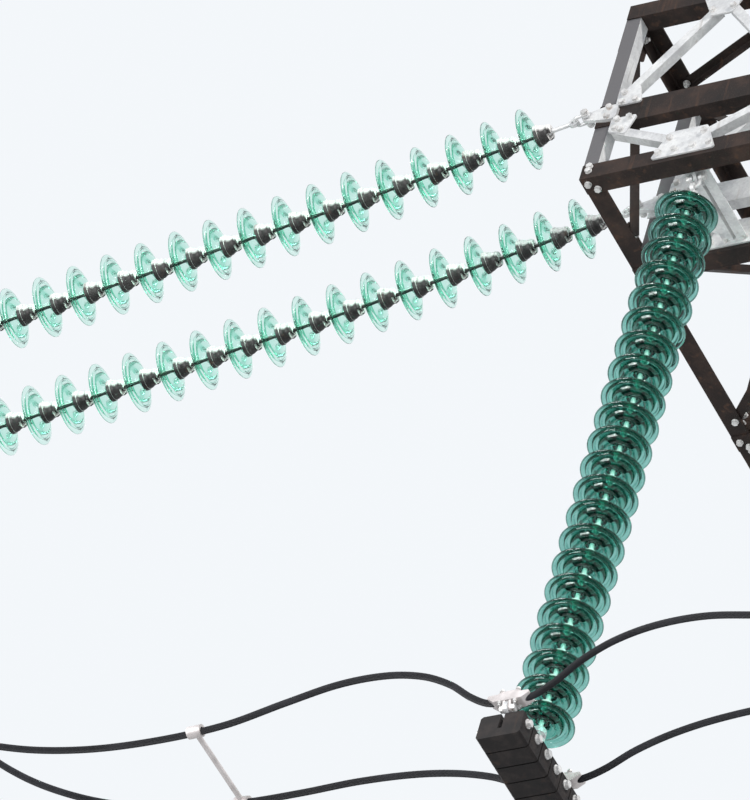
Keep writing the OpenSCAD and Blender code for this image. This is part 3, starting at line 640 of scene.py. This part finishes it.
# bolts: a head with its washer at each point, and a nut at the far side of what it clamps
def makeBoltTree(s):
    g, given, made = newTree("bolts", [
        ("Across Flats", "Float", 0.024), ("Head", "Float", 0.010), ("Washer", "Float", 0.015),
        ("Washer Thickness", "Float", 0.003), ("Thread", "Float", 0.012), ("Seed", "Int", 1),
        ("Finish", "Material", None)])

    def turned(sides, radius, depth, base):
        n = g.nodes.new("GeometryNodeMeshCylinder")
        n.inputs["Vertices"].default_value = sides
        g.links.new(radius, n.inputs["Radius"])
        g.links.new(depth, n.inputs["Depth"])
        move = g.nodes.new("GeometryNodeTransform")
        g.links.new(n.outputs["Mesh"], move.inputs["Geometry"])
        middle = addMath(g, "ADD", base, addMath(g, "MULTIPLY", depth, 0.5))
        g.links.new(vectorOf(g, 0.0, 0.0, middle), move.inputs["Translation"])
        return move.outputs[0]

    def joined(*parts):
        n = g.nodes.new("GeometryNodeJoinGeometry")
        for part in parts:
            g.links.new(part, n.inputs[0])
        return n.outputs[0]

    flats, headDepth, lift = given["Across Flats"], given["Head"], given["Washer Thickness"]
    washer = turned(s["washerSides"], given["Washer"], lift, 0.0)
    block = turned(s["headSides"], addMath(g, "DIVIDE", flats, math.sqrt(3)), headDepth, lift)
    top = addMath(g, "ADD", lift, headDepth)
    crown = turned(s["crownSides"], addMath(g, "MULTIPLY", flats, s["crownRadius"]),
                   addMath(g, "MULTIPLY", headDepth, s["crownHeight"]), top)
    end = turned(s["threadSides"], addMath(g, "MULTIPLY", flats, s["threadRadius"]), given["Thread"], top)
    head, nut = joined(washer, block, crown), joined(washer, block, end)

    def named(label, kind):
        n = g.nodes.new("GeometryNodeInputNamedAttribute")
        n.data_type = kind
        n.inputs["Name"].default_value = label
        return n.outputs["Attribute"]

    axis, grip = named("axis", "FLOAT_VECTOR"), named("grip", "FLOAT")
    away = vectorCalc(g, "SCALE", axis, scale=-1.0)
    chance = g.nodes.new("FunctionNodeRandomValue")
    chance.data_type = "FLOAT"
    chance.inputs[3].default_value = math.tau
    g.links.new(given["Seed"], chance.inputs["Seed"])

    def planted(points, shape, direction):
        aim = g.nodes.new("FunctionNodeAlignRotationToVector")
        aim.axis = "Z"
        g.links.new(direction, aim.inputs["Vector"])
        spin = g.nodes.new("FunctionNodeAxisAngleToRotation")
        spin.inputs["Axis"].default_value = (0, 0, 1)
        g.links.new(chance.outputs[1], spin.inputs["Angle"])
        turn = g.nodes.new("FunctionNodeRotateRotation")
        turn.rotation_space = "LOCAL"
        g.links.new(aim.outputs[0], turn.inputs[0])
        g.links.new(spin.outputs[0], turn.inputs[1])
        n = g.nodes.new("GeometryNodeInstanceOnPoints")
        g.links.new(points, n.inputs["Points"])
        g.links.new(shape, n.inputs["Instance"])
        g.links.new(turn.outputs[0], n.inputs["Rotation"])
        return n.outputs[0]

    far = g.nodes.new("GeometryNodeSetPosition")
    g.links.new(given["Geometry"], far.inputs["Geometry"])
    g.links.new(vectorCalc(g, "SCALE", away, scale=grip), far.inputs["Offset"])
    both = joined(planted(given["Geometry"], head, axis), planted(far.outputs[0], nut, away))
    endTree(g, both, given["Finish"], made)
    return g


boltTree = makeBoltTree(boltShape)
boltSizes = {
    "frameBolts": {"Across Flats": 0.027, "Head": 0.011, "Washer": 0.0165, "Washer Thickness": 0.003,
                   "Thread": 0.012, "Seed": 3},
    "hangerBolts": {"Across Flats": 0.019, "Head": 0.008, "Washer": 0.012, "Washer Thickness": 0.0025,
                    "Thread": 0.008, "Seed": 5},
    "pinNuts": {"Across Flats": 0.030, "Head": 0.012, "Washer": 0.019, "Washer Thickness": 0.003,
                "Thread": 0.006, "Seed": 7},
    "weightBolts": {"Across Flats": 0.030, "Head": 0.014, "Washer": 0.021, "Washer Thickness": 0.004,
                    "Thread": 0.010, "Seed": 9},
    "clampBolts": {"Across Flats": 0.017, "Head": 0.008, "Washer": 0.011, "Washer Thickness": 0.002,
                   "Thread": 0.008, "Seed": 11},
}
boltPlaces = {name: [] for name in boltSizes}

# sizes of the arm that the bolts follow, and places of the bolts, in millimetres
arm = {
    "half": 500, "height": 1140, "frames": (0, 550, 1600), "chordLeg": 90,
    "over": ((-395, 510), (-35, 990)),  # x and z of the ends of a tip frame's upper bar
    "under": ((-395, 290), (-70, 130)),  # the same of its lower bar
    "gussets": ((-388, 458), (-322, 458), (-385, 343), (-325, 343), (-122, 52), (-45, 52), (-74, 1078)),
    "beamEnd": -440, "beamZ": (370, 430),
    "chordFoot": ((-470, 28), (-438, 62)),  # x, and distance behind the frame, on the bottom chord
    "cornerX": -462, "cornerZ": (38, 66),
    "slant": ((-370, 110), (370, 1010)),  # the bay frame's diagonal
    "slantEnds": ((-450, 60), (-450, 112), (450, 966), (450, 1014)),
    "sideTops": (60, 150, 1500, 1600, 1700), "sideTopZ": 1078,
    "sideFeet": (460, 560, 660, 2510, 2590), "sideFootZ": 56,
    "sideBars": (((80, 1010), (480, 130)), ((630, 130), (1520, 1010)), ((1680, 1010), (2530, 130))),
    "lowBars": ((1, 625, 1525), (-1, 1675, 2535)),  # side that the bar starts at, and both its ends' y
    "highBars": ((1, 75, 475), (-1, 625, 1525), (1, 1675, 2535)),
    "plate": 14, "beamLip": 22, "chordGrip": 15, "sideGrip": 17, "sideOut": 8,
}


# x, y, z and grip in millimetres, with the way that the head points; both sides when asked
def putBolt(group, x, y, z, axis, grip, mirror=False):
    for s in ((1, -1) if mirror else (1,)):
        boltPlaces[group].append((tip + Vector((s * x, y, z)) / 1000,
                                  Vector((s * axis[0], axis[1], axis[2])), grip / 1000))


# points at set distances from a towards b
def onward(a, b, distances):
    d = (Vector(b) - Vector(a)).normalized()
    return [Vector(a) + d * q for q in distances]


def placeFrameBolts(s):
    front, down, upward, outward = (0, -1, 0), (0, 0, -1), (0, 0, 1), (-1, 0, 0)
    plate, outside = s["plate"], -s["half"] - s["sideOut"]

    def put(x, y, z, axis, grip, mirror=False):
        putBolt("frameBolts", x, y, z, axis, grip, mirror)

    over, apex = s["over"]
    under, low = s["under"]
    spots = onward(over, apex, (12,)) + onward(apex, over, (28,)) + onward(under, low, (8, 44))
    spots += onward(low, under, (14,)) + [Vector(q) for q in s["gussets"]]
    for y in s["frames"][:2]:
        for q in spots:
            put(q[0], y - plate, q[1], front, plate, True)
        for z in s["beamZ"]:
            put(s["beamEnd"], y - s["beamLip"], z, front, 28, True)
    for y in s["frames"]:
        for x, inward in s["chordFoot"]:
            put(x, y + inward, -6, down, s["chordGrip"], True)
    for z in s["cornerZ"]:
        put(s["cornerX"], -6, z, front, 12, True)
    deep = s["frames"][2] - plate
    a, b = s["slant"]
    for q in onward(a, b, (15, 48)) + onward(b, a, (15, 50)):
        put(q[0], deep, q[1], front, plate)
    for x, z in s["slantEnds"]:
        put(x, deep, z, front, 20)
    for places, z in ((s["sideTops"], s["sideTopZ"]), (s["sideFeet"], s["sideFootZ"])):
        for y in places:
            put(outside, y, z, outward, s["sideGrip"], True)
    for a, b in s["sideBars"]:
        for q in onward(a, b, (14, 50)) + onward(b, a, (14, 46)):
            put(outside, q[0], q[1], outward, plate, True)
    reach = s["half"] - s["chordLeg"] / 2
    for bars, z, way in ((s["lowBars"], 0, down), (s["highBars"], s["height"], upward)):
        for side, y, farY in bars:
            a, b = (side * reach, y), (-side * reach, farY)
            for q in onward(a, b, (20,)) + onward(b, a, (20,)):
                put(q[0], q[1], z, way, s["chordGrip"])


# head and foot of the jumper string, in millimetres
foot = {
    "y": 140, "spread": 34, "plateZ": 53, "plateGrip": 12, "plateY": (-6, 550),
    "railX": 14, "railZ": 72, "linkX": 29, "linkZ": 20, "eyeX": 20.5, "eyeZ": -3407,
    "clampY": (-105, 385), "clampX": 18.5, "clampZ": -3375, "clampBoltZ": -3423,
    "capX": 36, "capY": 19, "capLift": 32, "capGrip": 56,
    "weightZ": -3515, "weightPitch": 90, "weights": 6, "weightHalf": 100,
}


def placeFootBolts(s):
    y, sideways = s["y"], (1, 0, 0)
    near, far = s["plateY"]
    for across in (-s["spread"], s["spread"]):
        putBolt("hangerBolts", across, near, s["plateZ"], (0, -1, 0), s["plateGrip"])
        putBolt("hangerBolts", across, far, s["plateZ"], (0, 1, 0), s["plateGrip"])
        putBolt("hangerBolts", s["railX"], y + across, s["railZ"], sideways, 2 * s["railX"])
    for x, z in ((s["linkX"], s["linkZ"]), (s["eyeX"], s["eyeZ"])):
        putBolt("pinNuts", x, y, z, sideways, 2 * x)
    for row in range(s["weights"]):
        place = y + (row - (s["weights"] - 1) / 2) * s["weightPitch"]
        putBolt("weightBolts", s["weightHalf"], place, s["weightZ"], sideways, 2 * s["weightHalf"])
    for across in s["clampY"]:
        putBolt("pinNuts", s["clampX"], across, s["clampBoltZ"], sideways, 2 * s["clampX"])
        for x in (-s["capX"], s["capX"]):
            for off in (-s["capY"], s["capY"]):
                putBolt("clampBolts", x, across + off, s["clampZ"] + s["capLift"], (0, 0, 1), s["capGrip"])


def placeStringPins(s):
    def reach(a):
        return Vector((-math.cos(a), 0, -math.sin(a)))

    slope, step = math.radians(s["slope"]), math.radians(s["slopeStep"])
    leans = [slope - step * i for i in range(s["count"])]
    end = Vector((-s["lugX"], 0, s["lugZ"])) + s["link"] * reach(slope)
    end += s["pitch"] * sum((reach(a) for a in leans), Vector((0, 0, 0)))
    along = reach(leans[-1])
    under = Vector((-along.z, 0, along.x))
    lug, eye = 1000 * s["lugPin"], 1000 * s["eyePin"]
    middle = sum(s["lugY"]) / 2

    def putEye(y, distance):
        q = 1000 * (end + distance * along + s["eyePin"] * under)
        putBolt("pinNuts", q.x, 1000 * y, q.z, under, 2 * eye, True)

    for y in s["lugY"]:
        putBolt("pinNuts", -1000 * s["lugX"], 1000 * y - lug, 1000 * s["lugZ"], (0, -1, 0), 2 * lug, True)
        putEye(y, s["eyeAlong"])
    for y in (middle - s["lineHalf"], middle + s["lineHalf"]):
        putEye(y, s["lineAlong"])


def makeBolts():
    placeFrameBolts(arm)
    placeFootBolts(foot)
    placeStringPins(strings)
    for name, places in boltPlaces.items():
        mesh = bpy.data.meshes.new(name)
        mesh.from_pydata([p for p, a, g in places], [], [])
        for label, kind, key, values in (
                ("axis", "FLOAT_VECTOR", "vector", [c for p, a, g in places for c in a]),
                ("grip", "FLOAT", "value", [g for p, a, g in places])):
            mesh.attributes.new(label, kind, "POINT").data.foreach_set(key, values)
        runTree(name, mesh, boltTree, {**boltSizes[name], "Finish": materials["boltSteel"]})


makeBolts()
print("bolts made")

# light and ground
light = {
    "sun": {"from": (0.66, -0.42, 0.62), "power": 2.4, "spread": 6.0, "colour": (1.0, 0.97, 0.93)},
    "panels": {
        "front": {"from": (-0.115, -0.970, -0.215), "away": 12.0, "size": 3.2, "power": 420.0,
                  "glossOnly": False},
        "sheen": {"from": (-0.30, -0.92, -0.25), "away": 12.0, "size": 9.0, "power": 2800.0,
                  "glossOnly": True},  # long soft reflections on the glass
    },
    "aim": (0, 0.14, -1.7),  # middle of the jumper string
    "sky": (0.80, 0.88, 1.0), "skyPower": 0.5, "backdrop": (0.90, 0.93, 0.96),
    "floor": (0.80, 0.80, 0.78), "floorDrop": 30.0, "floorSize": 4000.0,
}


def addLamp(name, kind, q):
    data = bpy.data.lights.new(name, kind)
    data.energy = q["power"]
    lamp = bpy.data.objects.new(name, data)
    lamp.rotation_euler = Vector(q["from"]).to_track_quat("Z", "Y").to_euler()
    scene.collection.objects.link(lamp)
    return lamp


def makeLight(s):
    sun = addLamp("sun", "SUN", s["sun"]).data
    sun.angle, sun.color = math.radians(s["sun"]["spread"]), s["sun"]["colour"]
    for name, q in s["panels"].items():
        lamp = addLamp(name, "AREA", q)
        lamp.data.size = q["size"]
        lamp.visible_camera, lamp.visible_diffuse = False, not q["glossOnly"]
        lamp.location = tip + Vector(s["aim"]) + q["away"] * Vector(q["from"])
    world = bpy.data.worlds.new("sky")
    scene.world = world
    world.use_nodes = True
    t = world.node_tree
    lit = t.nodes["Background"]
    lit.inputs["Color"].default_value = (*s["sky"], 1)
    lit.inputs["Strength"].default_value = s["skyPower"]
    seen = addNode(t, "ShaderNodeBackground")
    seen.inputs["Color"].default_value = (*s["backdrop"], 1)
    seen.inputs["Strength"].default_value = 1
    path = t.nodes.new("ShaderNodeLightPath")
    either = addMath(t, "MAXIMUM", path.outputs["Is Camera Ray"], path.outputs["Is Transmission Ray"])
    either = addMath(t, "MAXIMUM", either, path.outputs["Is Glossy Ray"])
    mix = t.nodes.new("ShaderNodeMixShader")
    t.links.new(either, mix.inputs[0])
    t.links.new(lit.outputs[0], mix.inputs[1])
    t.links.new(seen.outputs[0], mix.inputs[2])
    t.links.new(mix.outputs[0], t.nodes["World Output"].inputs["Surface"])
    half = s["floorSize"] / 2
    mesh = bpy.data.meshes.new("ground")
    mesh.from_pydata([(x, y, -s["floorDrop"]) for x, y in
                      ((-half, -half), (half, -half), (half, half), (-half, half))], [], [(0, 1, 2, 3)])
    m, t, bsdf = newMaterial("paleGround", Roughness=0.9)
    bsdf.inputs["Base Color"].default_value = (*s["floor"], 1)
    mesh.materials.append(m)
    ground = bpy.data.objects.new("ground", mesh)
    scene.collection.objects.link(ground)


makeLight(light)
print("light and ground placed")
